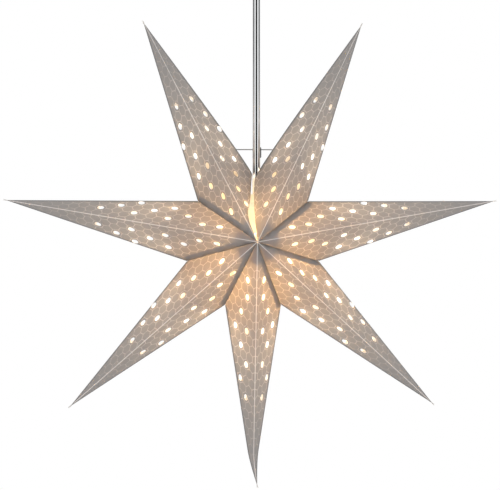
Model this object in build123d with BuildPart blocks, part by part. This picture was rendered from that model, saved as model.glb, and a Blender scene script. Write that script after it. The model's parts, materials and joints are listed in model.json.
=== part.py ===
from build123d import *

import os
from math import cos, degrees, pi, radians, sin, tan

os.makedirs("parts", exist_ok=True)

# A seven-pointed star of folded paper that hangs round a lamp on a chrome tube.
# The origin is the middle of the hanging hole at the top, over the tube's middle line.
# +Z is up and -Y is the star's front.

# The paper star
tip_radius = 320.0          # from the star's middle line out to the end of each point
side_radius = 325.5         # the two side points reach a little further
valley_radius = 90.0        # from the middle line out to the corner between two points
half_depth = 90.0           # from the star's middle to its front and its back peak
lower_turn = 48.1           # where the points stand, in degrees round from straight down
side_turn = 99.6
upper_turn = 153.4
paper = 0.35                # thickness of the folded sheet
glue_gap = 0.05             # between a flap and the panel that it is glued in
valley_gap = 0.2            # a panel stops this far short of the valley
peak_nip = 3.0              # each sheet stops short of the peak that all seven share
tip_nip = 1.0               # and is nipped off at its own tip
flap_width = 9.5            # the glued strip along a valley, short of the punched holes
flap_inset = 18.0           # clear of the peak
flap_end = 4.0              # clear of the corner

# Punched holes, on every fourth cell of a honeycomb that runs along the ridge
cell_across = 13.8
cell_along = 11.25
hole_diameter = 8.8
first_hole = 76.9           # from the peak, along the ridge
hole_rows = 3
hole_edge = 1.2             # least paper left beside a hole

# Card that doubles the paper round the two peaks, one folded strip in each point's end
patch_card = 0.3
patch_reach = 33.0
patch_inset = 1.5

# The open slit between the two upper points, where the tube goes in
slit_corner_left = (-1.0, 89.0)              # in the star's own X and Z
slit_corner_right = (3.4, 86.0)
slit_edge_left = ((-5.7, 51.0), (-12.6, 33.6))
slit_edge_right = ((0.6, 76.0), (-1.4, 34.0))
slit_room = 2.2                              # the rear slit clears the tube by this much

# How the star, the tube and the lamp stand to each other
star_drop = 366.0           # from the hanging hole down to the star's middle
star_aside = -4.7           # the star hangs a little to one side of the tube
star_ahead = 6.0            # the star's middle plane is this far in front of the tube
wire_above_corner = 30.6    # the hanger wire is this far above the valley corners
holder_below_corner = 28.0  # the top of the lampholder is this far below them

# Tube and hanging yoke
tube_diameter = 10.0
tube_wall = 1.0
eye_bore = 8.0
eye_radius = 9.0
eye_width = 10.0
yoke_window = 22.0
yoke_leg = 4.0
yoke_base_height = 12.0
yoke_base_radius = 10.0
thread_grip = 10.0          # length of tube screwed into the yoke and into the lampholder
thread_clearance = 0.03
locknut_height = 4.0
locknut_across = 14.0
set_screw_diameter = 3.0
screw_clearance = 0.05

# Cord gland and the flex inside the tube
flex_diameter = 4.0
gland_depth = 9.0
gland_flange = 2.0
core_diameter = 1.6
core_spread = 0.55          # of a core's diameter, from the flex's middle to its own

# Hanger wire, its clamp and the eyelets that it hooks through
wire_diameter = 1.2
hook_reach = 6.0            # past the eyelet, inside the point
hook_leg = 13.0
hook_bend = 3.0
eyelet_bore = 3.4
eyelet_flange = 3.6         # radius
eyelet_rim = 0.4
block_left, block_right = 4.4, 6.6
block_depth = 8.0
block_above, block_below = 3.0, 11.0
wire_behind_tube = 3.0
fixing_screw_diameter = 3.0
fixing_head_diameter = 5.6
fixing_head_height = 1.8
fixing_drop = 7.0           # below the wire
fixing_tip = 1.0            # how far the screw's end stands inside the tube
thumb_aside = 2.6
thumb_head_diameter = 6.0
thumb_head_height = 3.0
thumb_head_above = 6.4      # underside of the head, above the wire
knurl_count = 16
knurl_radius = 0.3
screw_slot = 0.8            # width of a screw's slot
saddle_depth = 1.5          # how far the clamp block reaches round the tube

# Lampholder for a small screw lamp
holder_neck_radius = 8.0
holder_neck_height = 11.0
holder_radius = 14.0
holder_cap_height = 20.0    # with its neck
holder_body_height = 32.0
holder_wall = 1.6
insert_height = 10.0
shell_radius = 7.0          # inside the threaded contact shell
shell_wall = 0.4
shell_height = 23.0
ring_radius = 20.0
ring_height = 8.0
ring_drop = 8.0             # from the top of the holder's body
ring_wall = 2.0
terminal_radius = 1.6
terminal_rise = 2.0         # above the insert
terminal_gap = 0.4          # between a core's end and its screw
terminal_offset = 10.0
contact_length = 9.0
contact_width = 4.0
contact_thickness = 0.5
grip_count = 12
grip_radius = 1.0           # finger grips round the shade ring

# Lamp
cap_clearance = 0.1
cap_length = 22.0
cap_wall = 0.4
lamp_insulator_height = 2.5
lamp_contact_height = 1.2
lamp_contact_radius = 2.4
globe_radius = 22.5
lamp_length = 80.0
glass_wall = 0.8
neck_radius = 6.0
neck_overlap = 4.0          # of the glass inside the lamp's cap
shoulder = 40.0             # degrees above the globe's middle where its round part ends
stem_radius = 2.4
filament_radius = 0.7
filament_count = 4
filament_ring = 6.0

# Worked out from the sizes above
star_x, star_y, star_z = star_aside, -star_ahead, -star_drop
tube_radius = tube_diameter / 2
tube_bore = tube_radius - tube_wall
wire_y = tube_radius + wire_behind_tube
wire_z = star_z + valley_radius + wire_above_corner
yoke_base_top = -(eye_radius + yoke_window)
tube_top = yoke_base_top - (yoke_base_height - thread_grip)
holder_top = star_z + valley_radius - holder_below_corner
tube_bottom = holder_top - thread_grip
body_top = holder_top - holder_cap_height
body_bottom = body_top - holder_body_height
insert_bottom = body_top - insert_height
flap_depth = paper + glue_gap
patch_depth = 2 * (paper + glue_gap) + glue_gap

star_centre = Vector(star_x, star_y, star_z)
front_peak = Vector(star_x, star_y - half_depth, star_z)
back_peak = Vector(star_x, star_y + half_depth, star_z)


def at_tube(z):
    """The tube's axis at a height."""
    return Plane(origin=(0, 0, z))


def spoke(turn, radius):
    """A point in the star's middle plane, its turn counted from straight down towards +X."""
    return star_centre + Vector(sin(radians(turn)), 0, -cos(radians(turn))) * radius


def panel_plane(peak, tip, corner):
    """The outside of one panel: X runs up the ridge from the peak and Z points into the star."""
    ridge = (tip - peak).normalized()
    inward = ridge.cross(corner - peak).normalized()
    if inward.dot(star_centre - peak) < 0:
        inward = -inward
    return Plane(origin=peak, x_dir=ridge, z_dir=inward)


def flat_point(plane, point):
    """A point that lies on a panel, as X and Y in that panel."""
    local = plane.to_local_coords(point)
    return Vector(local.X, local.Y)


def on_panel(plane, x, z):
    """The point of a panel that is seen at X and Z of the star from the front."""
    normal = plane.z_dir
    reach = Vector(star_x + x, star_y, star_z + z) - plane.origin
    depth = -(normal.X * reach.X + normal.Z * reach.Z) / normal.Y
    return flat_point(plane, Vector(star_x + x, plane.origin.Y + depth, star_z + z))


def valley_edge(plane, tip, corner):
    """The two ends of a panel's glued edge, held back from the valley by the gap."""
    flat_corner, flat_tip = flat_point(plane, corner), flat_point(plane, tip)
    valley = flat_corner.normalized()
    to_ridge = Vector(valley.Y, -valley.X) * (1 if flat_corner.Y > 0 else -1)
    crease = (flat_tip - flat_corner).normalized()
    return [
        flat_corner + crease * (valley_gap / crease.dot(to_ridge)),
        valley * peak_nip + to_ridge * valley_gap,
    ]


def slit_edge(plane, tip, corner, edge, back):
    """A panel's free edge beside the slit: shaped at the front, cut clear of the tube behind."""
    if not back:
        points = [flat_point(plane, corner)] + [on_panel(plane, x, z) for x, z in edge]
        return points + [points[-1].normalized() * peak_nip]
    clear_x = (tube_radius + slit_room) * (1 if tip.X > star_x else -1)
    share = (clear_x - corner.X) / (tip.X - corner.X)
    start = flat_point(plane, corner + (tip - corner) * share)
    return [start, start.normalized() * peak_nip]


def hole_places(plane, tip, corner):
    """Centres of the punched holes in one panel: staggered rows, as far as the paper goes."""
    flat_corner, flat_tip = flat_point(plane, corner), flat_point(plane, tip)
    side = 1 if flat_corner.Y > 0 else -1
    crease = (flat_tip - flat_corner).normalized()
    places = []
    for row in range(hole_rows):
        across = (row + 1.5) * cell_across
        start = first_hole + row * 2 * cell_along
        steps = range(int(tip_radius // (4 * cell_along)))
        along = [start + step * 4 * cell_along for step in steps]
        if row == 0:
            along.insert(0, start - 2 * cell_along)
        for x in along:
            reach = Vector(x, side * across) - flat_corner
            from_crease = abs(reach.X * crease.Y - reach.Y * crease.X)
            inside = across < abs(flat_tip.X - x) * abs(crease.Y / crease.X)
            if inside and x < flat_tip.X and from_crease > hole_diameter / 2 + hole_edge:
                places.append((x, side * across))
    return places


# The points, from the upper left one round through the bottom to the upper right one
names = ["upper_left", "left", "lower_left", "bottom", "lower_right", "right", "upper_right"]
turns = [-upper_turn, -side_turn, -lower_turn, 0.0, lower_turn, side_turn, upper_turn]
last = len(names) - 1
tips = [spoke(turn, side_radius if abs(turn) == side_turn else tip_radius) for turn in turns]
corners = [spoke((a + b) / 2, valley_radius) for a, b in zip(turns, turns[1:])]
left_slit_corner = Vector(star_x + slit_corner_left[0], star_y, star_z + slit_corner_left[1])
right_slit_corner = Vector(star_x + slit_corner_right[0], star_y, star_z + slit_corner_right[1])
corners_before = [left_slit_corner] + corners
corners_after = corners + [right_slit_corner]


def eyelet_place(number):
    """Where the hanger wire goes through an upper point's rear panel, and that panel's plane."""
    corner = left_slit_corner if number == 0 else right_slit_corner
    plane = panel_plane(back_peak, tips[number], corner)
    normal = plane.z_dir
    reach = Vector(0, wire_y, wire_z) - plane.origin
    x = -(normal.Y * reach.Y + normal.Z * reach.Z) / normal.X + plane.origin.X
    return Plane(origin=(x, wire_y, wire_z), x_dir=plane.x_dir, z_dir=normal)


for number, name in enumerate(names):
    tip = tips[number]
    slit_side = {0: corners_before[0], last: corners_after[last]}.get(number)
    slit_points = slit_edge_left if number == 0 else slit_edge_right
    with BuildPart() as point:
        for peak in (front_peak, back_peak):
            for corner in (corners_before[number], corners_after[number]):
                panel = panel_plane(peak, tip, corner)
                flat_corner, flat_tip = flat_point(panel, corner), flat_point(panel, tip)
                nipped = flat_tip + (flat_corner - flat_tip).normalized() * tip_nip
                if corner is slit_side:
                    edge = slit_edge(panel, tip, corner, slit_points, peak is back_peak)
                else:
                    edge = valley_edge(panel, tip, corner)
                ridge = [Vector(peak_nip, 0), Vector(flat_tip.X - tip_nip, 0)]
                with BuildSketch(panel):
                    with BuildLine():
                        Polyline(*ridge, nipped, *edge, close=True)
                    make_face()
                    with Locations(*hole_places(panel, tip, corner)):
                        Circle(hole_diameter / 2, mode=Mode.SUBTRACT)
                extrude(amount=paper)
            if number > 0:
                # The flap along the valley before this point goes inside the neighbour's panel.
                corner, neighbour = corners_before[number], tips[number - 1]
                own, other = panel_plane(peak, tip, corner), panel_plane(peak, neighbour, corner)
                valley = (corner - peak).normalized()
                to_own = own.z_dir.cross(valley)
                to_own = to_own if to_own.dot(tip - peak) > 0 else -to_own
                to_other = other.z_dir.cross(valley)
                to_other = to_other if to_other.dot(neighbour - peak) > 0 else -to_other
                root = peak + valley * flap_inset
                profile = [
                    root + to_own * (valley_gap + 1),
                    root + to_own * (valley_gap + 1) + own.z_dir * paper,
                    root + other.z_dir * (flap_depth + paper),
                    root + other.z_dir * (flap_depth + paper) + to_other * flap_width,
                    root + other.z_dir * flap_depth + to_other * flap_width,
                    root + other.z_dir * flap_depth,
                ]
                across = Plane(origin=root, z_dir=valley)
                with BuildSketch(across):
                    with BuildLine():
                        Polyline(*[flat_point(across, p) for p in profile], close=True)
                    make_face()
                extrude(amount=(corner - peak).length - flap_inset - flap_end)
        if slit_side:
            with BuildSketch(eyelet_place(number)):
                Circle(eyelet_bore / 2 + eyelet_rim)
            extrude(amount=paper, mode=Mode.SUBTRACT)
    point.part.label = f"point_{name}"
    export_step(point.part, f"parts/point_{name}.step")

    with BuildPart() as patch:
        for peak in (front_peak, back_peak):
            before = panel_plane(peak, tip, corners_before[number])
            after = panel_plane(peak, tip, corners_after[number])
            bend = radians(before.z_dir.get_angle(after.z_dir))
            for corner in (corners_before[number], corners_after[number]):
                if corner is slit_side:
                    continue
                panel = panel_plane(peak, tip, corner)
                valley = flat_point(panel, corner).normalized()
                side = 1 if valley.Y > 0 else -1
                mitre = side * patch_depth * tan(bend / 2)
                slope = abs(valley.Y / valley.X)
                with BuildSketch(panel.offset(patch_depth)):
                    with BuildLine():
                        Polyline(
                            (2 * peak_nip + patch_inset, mitre),
                            (patch_reach, mitre),
                            (patch_reach, side * (slope * patch_reach - 2 * patch_inset)),
                            (2 * peak_nip + patch_inset, side * slope * (2 * peak_nip - patch_inset)),
                            close=True,
                        )
                    make_face()
                extrude(amount=patch_card)
    patch.part.label = f"patch_{name}"
    export_step(patch.part, f"parts/patch_{name}.step")

for number, side in ((0, "left"), (last, "right")):
    hole = eyelet_place(number)
    with BuildPart() as eyelet:
        with BuildSketch(hole.offset(-glue_gap)):
            Circle(eyelet_flange)
        extrude(amount=-eyelet_rim)
        with BuildSketch(hole.offset(paper + glue_gap)):
            Circle(eyelet_flange)
        extrude(amount=eyelet_rim)
        with BuildSketch(hole.offset(-glue_gap)):
            Circle(eyelet_bore / 2 + eyelet_rim - glue_gap)
        extrude(amount=paper + 2 * glue_gap)
        with BuildSketch(hole.offset(-glue_gap - eyelet_rim)):
            Circle(eyelet_bore / 2)
        extrude(amount=paper + 2 * (glue_gap + eyelet_rim), mode=Mode.SUBTRACT)
    eyelet.part.label = f"eyelet_{side}"
    export_step(eyelet.part, f"parts/eyelet_{side}.step")

# Hanger wire: straight behind the tube, through both eyelets, with an end turned down in each point
wire_left = eyelet_place(0).origin.X - hook_reach
wire_right = eyelet_place(last).origin.X + hook_reach
with BuildPart() as hanger_wire:
    with BuildLine():
        FilletPolyline(
            (wire_left, wire_y, wire_z - hook_leg),
            (wire_left, wire_y, wire_z),
            (wire_right, wire_y, wire_z),
            (wire_right, wire_y, wire_z - hook_leg),
            radius=hook_bend,
        )
    with BuildSketch(Plane(origin=(wire_left, wire_y, wire_z - hook_leg))):
        Circle(wire_diameter / 2)
    sweep()
hanger_wire.part.label = "hanger_wire"
export_step(hanger_wire.part, "parts/hanger_wire.step")

# Clamp block: saddled against the back of the tube, with the wire through it
block_bottom = wire_z - block_below
block_height = block_above + block_below
block_front = tube_radius - saddle_depth
fixing_plane = Plane(origin=(0, block_front, wire_z - fixing_drop), x_dir=(1, 0, 0), z_dir=(0, 1, 0))
with BuildPart() as clamp_block:
    with BuildSketch(Plane.XY.offset(block_bottom)):
        with Locations(((block_right - block_left) / 2, block_front + block_depth / 2)):
            Rectangle(block_left + block_right, block_depth)
    extrude(amount=block_height)
    chamfer(clamp_block.edges().filter_by(Axis.Y), length=1.0)
    with BuildSketch(at_tube(block_bottom)):
        Circle(tube_radius + screw_clearance)
    extrude(amount=block_height, mode=Mode.SUBTRACT)
    with BuildSketch(Plane(origin=(-block_left, wire_y, wire_z), z_dir=(1, 0, 0))):
        Circle(wire_diameter / 2 + screw_clearance)
    extrude(amount=block_left + block_right, mode=Mode.SUBTRACT)
    with BuildSketch(Plane(origin=(thumb_aside, wire_y, wire_z))):
        Circle(set_screw_diameter / 2 + screw_clearance)
    extrude(amount=block_above, mode=Mode.SUBTRACT)
    with BuildSketch(fixing_plane):
        Circle(fixing_screw_diameter / 2 + screw_clearance)
    extrude(amount=block_depth, mode=Mode.SUBTRACT)
clamp_block.part.label = "clamp_block"
export_step(clamp_block.part, "parts/clamp_block.step")

with BuildPart() as clamp_thumb_screw:
    with BuildSketch(Plane(origin=(thumb_aside, wire_y, wire_z + wire_diameter / 2 + screw_clearance))):
        Circle(set_screw_diameter / 2)
    extrude(amount=thumb_head_above - wire_diameter / 2 - screw_clearance)
    with BuildSketch(Plane(origin=(thumb_aside, wire_y, wire_z + thumb_head_above))):
        Circle(thumb_head_diameter / 2)
        with PolarLocations(thumb_head_diameter / 2, knurl_count):
            Circle(knurl_radius, mode=Mode.SUBTRACT)
    extrude(amount=thumb_head_height)
    chamfer(clamp_thumb_screw.faces().sort_by(Axis.Z)[-1].edges(), length=0.2)
clamp_thumb_screw.part.label = "clamp_thumb_screw"
export_step(clamp_thumb_screw.part, "parts/clamp_thumb_screw.step")

fixing_start = tube_bore - fixing_tip
block_back = block_front + block_depth
with BuildPart() as clamp_fixing_screw:
    with BuildSketch(Plane(origin=(0, fixing_start, wire_z - fixing_drop), z_dir=(0, 1, 0))):
        Circle(fixing_screw_diameter / 2)
    extrude(amount=block_back - fixing_start)
    with BuildSketch(Plane(origin=(0, block_back, wire_z - fixing_drop), z_dir=(0, 1, 0))):
        Circle(fixing_head_diameter / 2)
    extrude(amount=fixing_head_height)
    fillet(clamp_fixing_screw.faces().sort_by(Axis.Y)[-1].edges(), radius=fixing_head_height / 3)
    slot_y = block_back + fixing_head_height
    with BuildSketch(Plane(origin=(0, slot_y, wire_z - fixing_drop), z_dir=(0, 1, 0))):
        Rectangle(fixing_head_diameter, screw_slot)
    extrude(amount=-fixing_head_height / 2, mode=Mode.SUBTRACT)
clamp_fixing_screw.part.label = "clamp_fixing_screw"
export_step(clamp_fixing_screw.part, "parts/clamp_fixing_screw.step")

# Tube, with the tapped hole for the clamp's screw; the two set screws bear on its wall
yoke_screw_z = yoke_base_top - yoke_base_height / 2
holder_screw_z = holder_top - holder_neck_height / 2
with BuildPart() as lamp_tube:
    with BuildSketch(at_tube(tube_bottom)):
        Circle(tube_radius)
        Circle(tube_bore, mode=Mode.SUBTRACT)
    extrude(amount=tube_top - tube_bottom)
    with BuildSketch(fixing_plane):
        Circle(fixing_screw_diameter / 2 + screw_clearance)
    extrude(amount=4, both=True, mode=Mode.SUBTRACT)
lamp_tube.part.label = "lamp_tube"
export_step(lamp_tube.part, "parts/lamp_tube.step")

# Hanging yoke: a threaded base, two legs that leave room for the flex, and an eye
leg_span = 2 * yoke_base_radius - yoke_leg
with BuildPart() as hanging_yoke:
    with BuildSketch(at_tube(yoke_base_top - yoke_base_height)):
        Circle(yoke_base_radius)
        Circle(tube_radius + thread_clearance, mode=Mode.SUBTRACT)
    extrude(amount=yoke_base_height)
    with BuildSketch(at_tube(yoke_base_top)):
        with GridLocations(leg_span, 0, 2, 1):
            Rectangle(yoke_leg, eye_width)
    extrude(amount=yoke_window)
    head_plane = Plane(origin=(0, -eye_width / 2, 0), x_dir=(1, 0, 0), z_dir=(0, 1, 0))
    with BuildSketch(head_plane):
        Circle(yoke_base_radius)
        with Locations((0, eye_radius / 2)):
            Rectangle(2 * yoke_base_radius, eye_radius)
        Circle(eye_bore / 2, mode=Mode.SUBTRACT)
    extrude(amount=eye_width)
    with BuildSketch(Plane(origin=(0, 0, yoke_screw_z), z_dir=(0, 1, 0))):
        Circle(set_screw_diameter / 2 + screw_clearance)
    extrude(amount=yoke_base_radius, mode=Mode.SUBTRACT)
hanging_yoke.part.label = "hanging_yoke"
export_step(hanging_yoke.part, "parts/hanging_yoke.step")

with BuildPart() as yoke_locknut:
    with BuildSketch(at_tube(yoke_base_top - yoke_base_height - locknut_height)):
        RegularPolygon(locknut_across / 2, 6, major_radius=False)
        Circle(tube_radius + thread_clearance, mode=Mode.SUBTRACT)
    extrude(amount=locknut_height)
yoke_locknut.part.label = "yoke_locknut"
export_step(yoke_locknut.part, "parts/yoke_locknut.step")

# Set screws: the yoke's comes in from behind, the lampholder's too
for name, z, reach in (
    ("yoke_set_screw", yoke_screw_z, yoke_base_radius),
    ("holder_set_screw", holder_screw_z, holder_neck_radius),
):
    with BuildPart() as set_screw:
        start = tube_radius + screw_clearance
        with BuildSketch(Plane(origin=(0, start, z), z_dir=(0, 1, 0))):
            Circle(set_screw_diameter / 2)
        extrude(amount=reach - tube_radius - screw_clearance)
        with BuildSketch(Plane(origin=(0, reach, z), z_dir=(0, 1, 0))):
            RegularPolygon(set_screw_diameter / 4, 6)
        extrude(amount=-1, mode=Mode.SUBTRACT)
    set_screw.part.label = name
    export_step(set_screw.part, f"parts/{name}.step")

# Gland in the tube's top, and the flex down the tube to the lampholder
with BuildPart() as cord_gland:
    with BuildSketch(at_tube(tube_top - gland_depth)):
        Circle(tube_bore - thread_clearance)
    extrude(amount=gland_depth)
    with BuildSketch(at_tube(tube_top)):
        Circle(tube_radius - thread_clearance)
    extrude(amount=gland_flange)
    fillet(cord_gland.faces().sort_by(Axis.Z)[-1].edges(), radius=gland_flange / 3)
    with BuildSketch(at_tube(tube_top - gland_depth)):
        Circle(flex_diameter / 2 + screw_clearance)
    extrude(amount=gland_depth + gland_flange, mode=Mode.SUBTRACT)
cord_gland.part.label = "cord_gland"
export_step(cord_gland.part, "parts/cord_gland.step")

flex_top = tube_top + gland_flange / 2
flex_bottom = tube_bottom - 1.0
with BuildPart() as inner_flex:
    with BuildSketch(at_tube(flex_bottom)):
        Circle(flex_diameter / 2)
    extrude(amount=flex_top - flex_bottom)
inner_flex.part.label = "inner_flex"
export_step(inner_flex.part, "parts/inner_flex.step")

terminal_top = body_top + terminal_rise
with BuildPart() as flex_cores:
    for side in (-1, 1):
        start = Vector(side * core_diameter * core_spread, 0, flex_bottom)
        end = Vector(side * terminal_offset, 0, terminal_top + terminal_gap)
        with BuildLine() as route:
            Spline(start, end, tangents=((0, 0, -1), (side * 0.3, 0, -1)))
        with BuildSketch(Plane(origin=start, z_dir=(0, 0, -1))):
            Circle(core_diameter / 2)
        sweep(path=route.line)
flex_cores.part.label = "flex_cores"
export_step(flex_cores.part, "parts/flex_cores.step")

# Lampholder: cap on the tube, body, insert, threaded shell, contact, terminals and shade ring
dome = holder_cap_height - holder_neck_height
with BuildPart() as holder_cap:
    with BuildSketch(Plane(origin=(0, 0, body_top), x_dir=(1, 0, 0), z_dir=(0, -1, 0))):
        with BuildLine():
            Polyline((0, 0), (holder_radius, 0), (holder_radius, dome / 3))
            Line((holder_radius, dome / 3), (holder_neck_radius, dome))
            Polyline(
                (holder_neck_radius, dome),
                (holder_neck_radius, holder_cap_height),
                (0, holder_cap_height),
                (0, 0),
            )
        make_face()
    revolve(axis=Axis.Z)
    fillet(holder_cap.edges().filter_by(GeomType.CIRCLE).group_by(Axis.Z)[-1], radius=1)
    with BuildSketch(Plane(origin=(0, 0, body_top), x_dir=(1, 0, 0), z_dir=(0, -1, 0))):
        with BuildLine():
            inner = holder_radius - holder_wall
            throat = tube_radius + thread_clearance
            Polyline(
                (0, 0), (inner, 0), (inner, dome / 3),
                (throat + 1, dome - holder_wall), (throat, dome - holder_wall),
                (throat, holder_cap_height), (0, holder_cap_height), close=True,
            )
        make_face()
    revolve(axis=Axis.Z, mode=Mode.SUBTRACT)
    with BuildSketch(Plane(origin=(0, 0, holder_screw_z), z_dir=(0, 1, 0))):
        Circle(set_screw_diameter / 2 + screw_clearance)
    extrude(amount=holder_neck_radius, mode=Mode.SUBTRACT)
holder_cap.part.label = "holder_cap"
export_step(holder_cap.part, "parts/holder_cap.step")

with BuildPart() as holder_body:
    with BuildSketch(at_tube(body_bottom)):
        Circle(holder_radius)
        Circle(holder_radius - holder_wall, mode=Mode.SUBTRACT)
    extrude(amount=holder_body_height)
    chamfer(holder_body.faces().sort_by(Axis.Z)[0].edges(), length=0.5)
holder_body.part.label = "holder_body"
export_step(holder_body.part, "parts/holder_body.step")

insert_radius = holder_radius - holder_wall - screw_clearance
with BuildPart() as holder_insert:
    with BuildSketch(at_tube(insert_bottom)):
        Circle(insert_radius)
    extrude(amount=insert_height - screw_clearance)
    with BuildSketch(at_tube(insert_bottom)):
        Circle(shell_radius + shell_wall + screw_clearance)
    extrude(amount=insert_height / 2, mode=Mode.SUBTRACT)
    with BuildSketch(at_tube(body_top)):
        with GridLocations(2 * terminal_offset, 0, 2, 1):
            Circle(terminal_radius + screw_clearance)
    extrude(amount=-insert_height / 2, mode=Mode.SUBTRACT)
holder_insert.part.label = "holder_insert"
export_step(holder_insert.part, "parts/holder_insert.step")

shell_top = insert_bottom + insert_height / 2 - screw_clearance
with BuildPart() as thread_shell:
    with BuildSketch(at_tube(shell_top - shell_height)):
        Circle(shell_radius + shell_wall)
        Circle(shell_radius, mode=Mode.SUBTRACT)
    extrude(amount=shell_height)
thread_shell.part.label = "thread_shell"
export_step(thread_shell.part, "parts/thread_shell.step")

with BuildPart() as centre_contact:
    with BuildSketch(at_tube(shell_top - contact_thickness)):
        SlotOverall(contact_length, contact_width)
    extrude(amount=contact_thickness)
centre_contact.part.label = "centre_contact"
export_step(centre_contact.part, "parts/centre_contact.step")

with BuildPart() as terminal_screws:
    with BuildSketch(at_tube(terminal_top)):
        with GridLocations(2 * terminal_offset, 0, 2, 1):
            Circle(terminal_radius)
    extrude(amount=-(terminal_top - body_top + insert_height / 2 - screw_clearance))
terminal_screws.part.label = "terminal_screws"
export_step(terminal_screws.part, "parts/terminal_screws.step")

ring_top = body_top - ring_drop
with BuildPart() as shade_ring:
    with BuildSketch(at_tube(ring_top - ring_height)):
        Circle(holder_radius + screw_clearance + ring_wall)
        Circle(holder_radius + screw_clearance, mode=Mode.SUBTRACT)
    extrude(amount=ring_height)
    with BuildSketch(at_tube(ring_top - ring_height)):
        Circle(ring_radius)
        Circle(holder_radius + screw_clearance, mode=Mode.SUBTRACT)
        with PolarLocations(ring_radius, grip_count):
            Circle(grip_radius, mode=Mode.SUBTRACT)
    extrude(amount=ring_wall)
shade_ring.part.label = "shade_ring"
export_step(shade_ring.part, "parts/shade_ring.step")

# Lamp: it stands with its contact just under the holder's, its cap in the threaded shell
contact_top = shell_top - contact_thickness - screw_clearance
cap_top = contact_top - lamp_contact_height - lamp_insulator_height
cap_bottom = cap_top - cap_length
globe_centre = contact_top - lamp_length + globe_radius
cap_radius = shell_radius - cap_clearance

with BuildPart() as bulb_contact:
    with BuildSketch(at_tube(contact_top - lamp_contact_height)):
        Circle(lamp_contact_radius)
    extrude(amount=lamp_contact_height)
    fillet(bulb_contact.faces().sort_by(Axis.Z)[-1].edges(), radius=0.5)
bulb_contact.part.label = "bulb_contact"
export_step(bulb_contact.part, "parts/bulb_contact.step")

with BuildPart() as bulb_insulator:
    with BuildSketch(at_tube(cap_top)):
        Circle(cap_radius - 1.0)
    extrude(amount=lamp_insulator_height, taper=35)
bulb_insulator.part.label = "bulb_insulator"
export_step(bulb_insulator.part, "parts/bulb_insulator.step")

with BuildPart() as bulb_cap:
    with BuildSketch(at_tube(cap_bottom)):
        Circle(cap_radius)
    extrude(amount=cap_length)
    offset(amount=-cap_wall, openings=bulb_cap.faces().sort_by(Axis.Z)[0])
bulb_cap.part.label = "bulb_cap"
export_step(bulb_cap.part, "parts/bulb_cap.step")

neck_top = cap_bottom + neck_overlap
flank = Vector(globe_radius * cos(radians(shoulder)), globe_radius * sin(radians(shoulder)))
neck_start = neck_top - globe_centre - neck_overlap
with BuildPart() as bulb_glass:
    with BuildSketch(Plane(origin=(0, 0, globe_centre), x_dir=(1, 0, 0), z_dir=(0, -1, 0))):
        with BuildLine():
            ThreePointArc((0, -globe_radius), (globe_radius, 0), flank)
            Spline(
                flank, (neck_radius, neck_start),
                tangents=((-sin(radians(shoulder)), cos(radians(shoulder))), (0, 1)),
            )
            Line((neck_radius, neck_start), (neck_radius, neck_top - globe_centre))
            Line((neck_radius, neck_top - globe_centre), (0, neck_top - globe_centre))
            Line((0, neck_top - globe_centre), (0, -globe_radius))
        make_face()
    revolve(axis=Axis.Z)
    offset(amount=-glass_wall, openings=bulb_glass.faces().sort_by(Axis.Z)[-1])
bulb_glass.part.label = "bulb_glass"
export_step(bulb_glass.part, "parts/bulb_glass.step")

stem_bottom = globe_centre + 2.0
with BuildPart() as bulb_stem:
    with BuildSketch(at_tube(stem_bottom)):
        Circle(stem_radius)
    extrude(amount=neck_top - stem_bottom)
    with BuildSketch(at_tube(neck_top - glass_wall)):
        Circle(neck_radius - glass_wall - screw_clearance)
    extrude(amount=glass_wall)
    fillet(bulb_stem.faces().sort_by(Axis.Z)[0].edges(), radius=1.0)
bulb_stem.part.label = "bulb_stem"
export_step(bulb_stem.part, "parts/bulb_stem.step")

filament_length = globe_radius
with BuildPart() as bulb_filaments:
    with BuildSketch(at_tube(stem_bottom)):
        with PolarLocations(filament_ring, filament_count):
            Circle(filament_radius)
    extrude(amount=filament_length / 2, both=True)
    for turn in range(filament_count // 2):
        angle = 2 * pi * turn / filament_count
        with BuildSketch(Plane(origin=(0, 0, stem_bottom + filament_length / 2))):
            Rectangle(2 * filament_ring, filament_radius, rotation=degrees(angle))
            Circle(stem_radius + screw_clearance, mode=Mode.SUBTRACT)
        extrude(amount=-filament_radius)
bulb_filaments.part.label = "bulb_filaments"
export_step(bulb_filaments.part, "parts/bulb_filaments.step")
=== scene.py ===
import json
from math import cos, pi, radians, sin, tan

import bpy
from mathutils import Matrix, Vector, noise
from mathutils.geometry import delaunay_2d_cdt


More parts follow.
